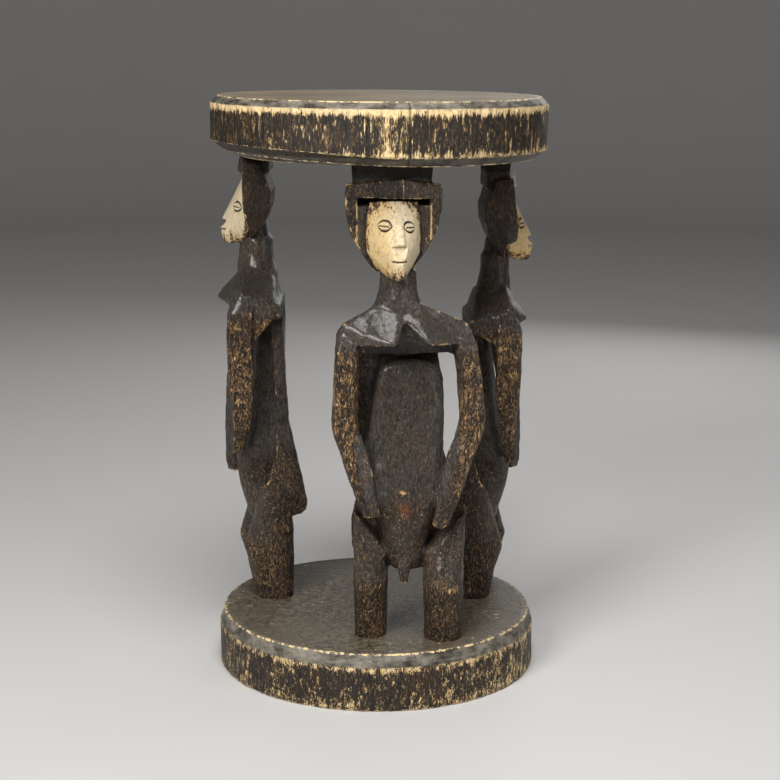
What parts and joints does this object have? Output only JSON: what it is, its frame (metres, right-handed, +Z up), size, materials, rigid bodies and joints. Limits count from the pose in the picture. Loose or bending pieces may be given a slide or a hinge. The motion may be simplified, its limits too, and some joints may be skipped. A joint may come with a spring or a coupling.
{
  "type": "ceremonial stool",
  "caption": "Carved round stool: standing figures with hands on their hips and pale faces carry a thick disc seat on their heads and stand on a thick disc base.",
  "frame": {"origin": "centre of the base disc's underside, where the stool stands on the floor", "axes": "+Z up through the middle of the seat, -Y towards the front, where the facing figure looks, +X to the viewer's right"},
  "size_m": [0.27, 0.27, 0.47],
  "materials": {
    "disc_wood": "dark patina with worn and chipped bare wood, satin",
    "figure_wood": "dark handled patina, worn brown on the ridges, satin",
    "face_pigment": "pale matte pigment on carved wood"
  },
  "bodies": {
    "root": {"base_disc": "disc_wood", "seat_disc": "disc_wood", "front_torso": "figure_wood", "front_chest": "figure_wood", "front_neck": "figure_wood", "front_leg_left": "figure_wood", "front_leg_right": "figure_wood", "front_arm_left": "figure_wood", "front_arm_right": "figure_wood", "front_coiffure": "figure_wood", "front_face": "face_pigment", "front_peg": "figure_wood", "left_torso": "figure_wood", "left_chest": "figure_wood", "left_neck": "figure_wood", "left_leg_left": "figure_wood", "left_leg_right": "figure_wood", "left_arm_left": "figure_wood", "left_arm_right": "figure_wood", "left_coiffure": "figure_wood", "left_face": "face_pigment", "right_torso": "figure_wood", "right_chest": "figure_wood", "right_neck": "figure_wood", "right_leg_left": "figure_wood", "right_leg_right": "figure_wood", "right_arm_left": "figure_wood", "right_arm_right": "figure_wood", "right_coiffure": "figure_wood", "right_face": "face_pigment"}
  },
  "joints": []
}
